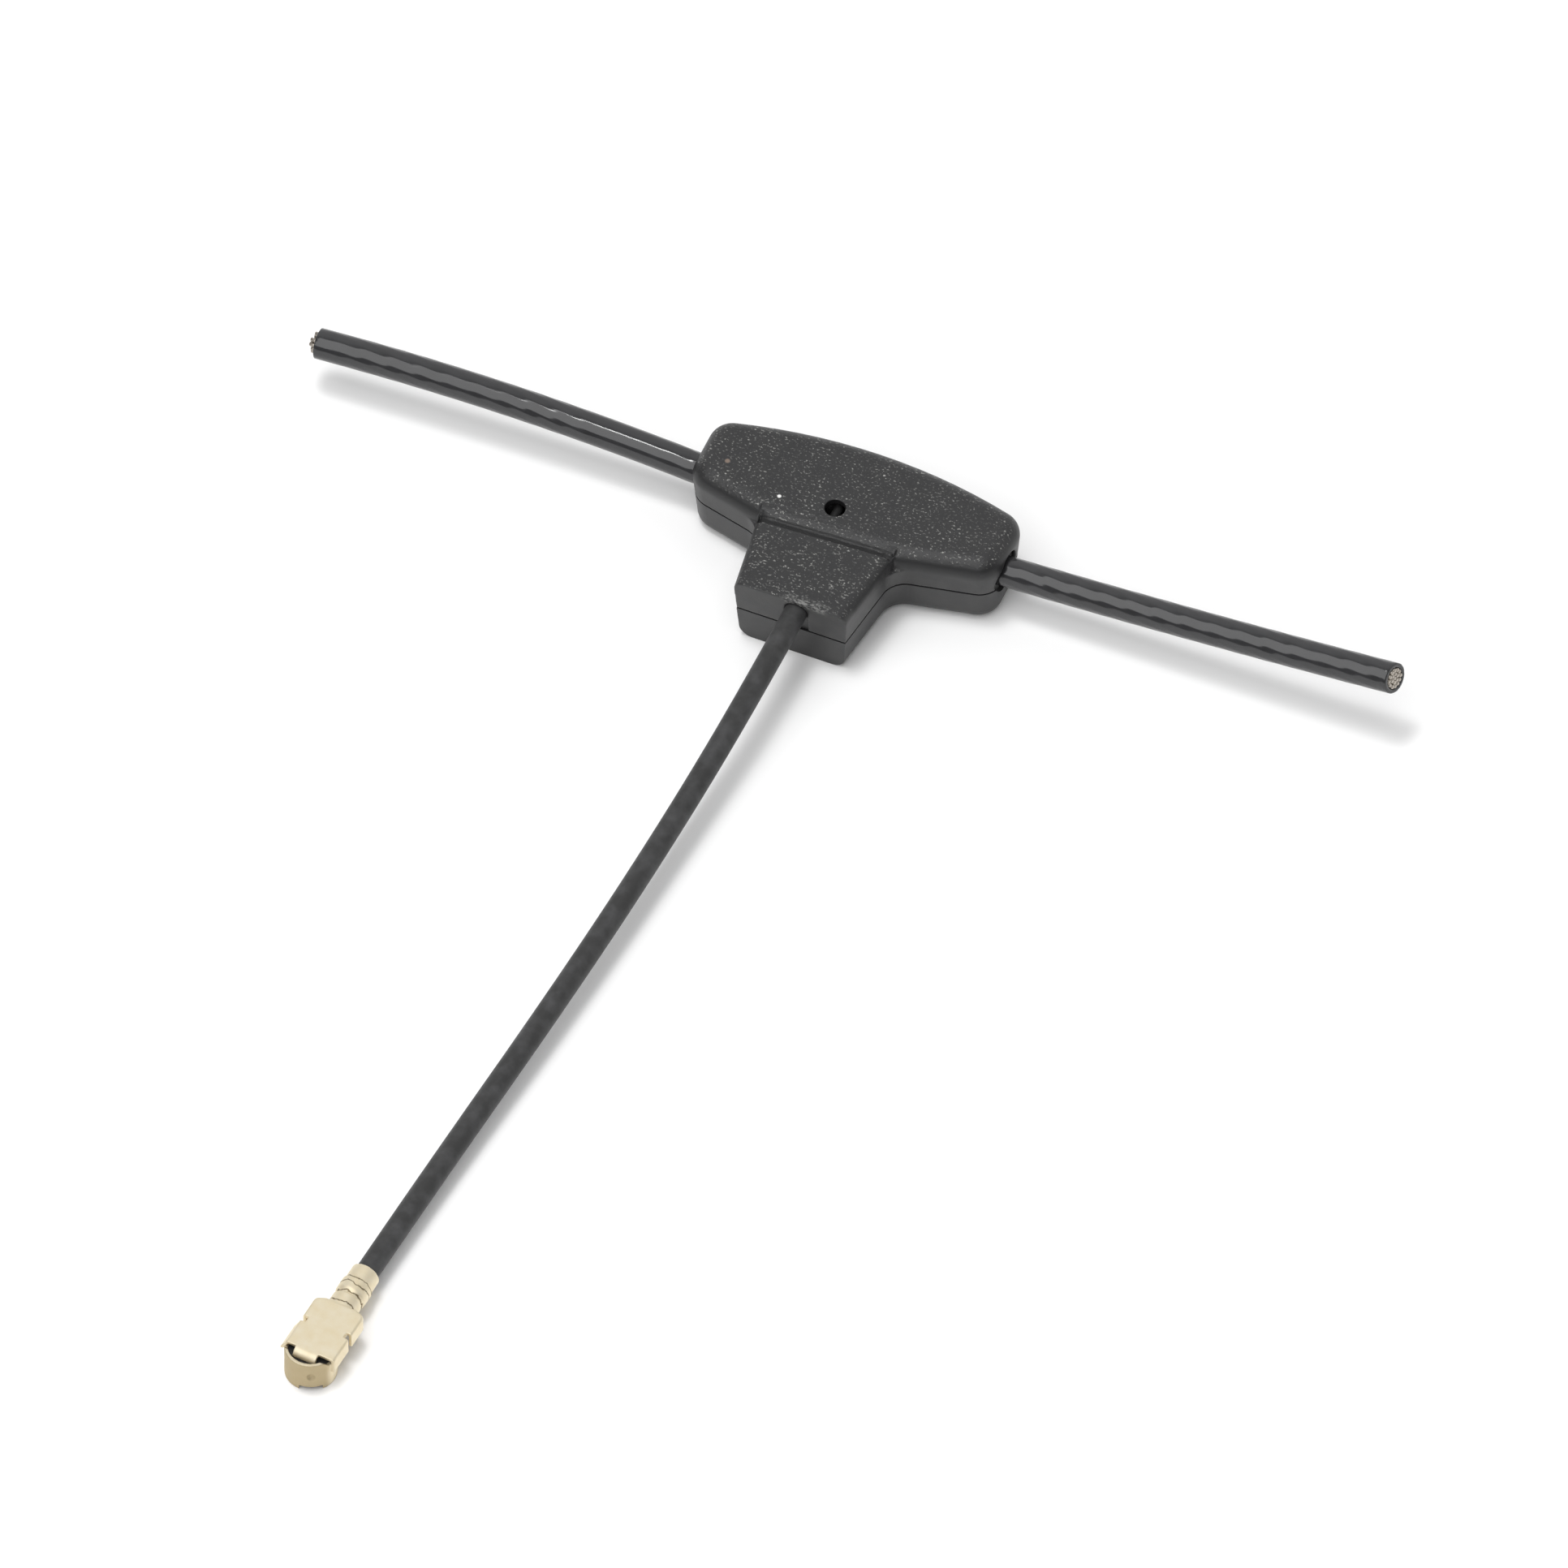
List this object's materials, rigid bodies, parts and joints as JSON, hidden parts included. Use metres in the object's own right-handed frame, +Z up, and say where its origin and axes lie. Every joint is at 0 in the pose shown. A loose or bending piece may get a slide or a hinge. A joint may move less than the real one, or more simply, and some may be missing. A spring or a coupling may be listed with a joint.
{
  "type": "t-shaped receiver antenna",
  "caption": "Small T-shaped receiver antenna: sleeved wire arms and a thin coaxial feed meet in a moulded housing, and the feed ends in a push-on plug.",
  "frame": {"origin": "on the housing's base plane, under the middle of the crossbar and of the line the arms lie on", "axes": "+X along the right arm, -Y the way the feed cable leaves the stem, +Z up from the base to the grained top"},
  "size_m": [0.0555, 0.0593, 0.0048],
  "materials": {
    "housing_grained": "fine spark-eroded grain",
    "housing_smooth": "smooth matt moulding",
    "arm_sleeve": "glossy extruded sleeve",
    "tinned_wire": "tinned strands",
    "cable_jacket": "satin fluoropolymer jacket",
    "cable_insulation": "pale extruded insulation",
    "solder": "satin solder",
    "gold_plate": "pale gold plating on stamped sheet",
    "plug_plastic": "moulded black plastic"
  },
  "bodies": {
    "root": {"upper_shell": "housing_grained", "lower_shell": "housing_smooth", "left_arm_insulation": "arm_sleeve", "right_arm_insulation": "arm_sleeve", "left_arm_conductor": "tinned_wire", "right_arm_conductor": "tinned_wire", "feed_cable": "cable_jacket", "feed_braid": "tinned_wire", "feed_dielectric": "cable_insulation", "feed_core": "tinned_wire", "left_solder_joint": "solder", "right_solder_joint": "solder", "plug_shell": "gold_plate", "plug_insulator": "plug_plastic", "plug_contact": "gold_plate", "plug_core": "tinned_wire", "plug_dielectric": "cable_insulation", "plug_braid": "tinned_wire"}
  },
  "joints": []
}
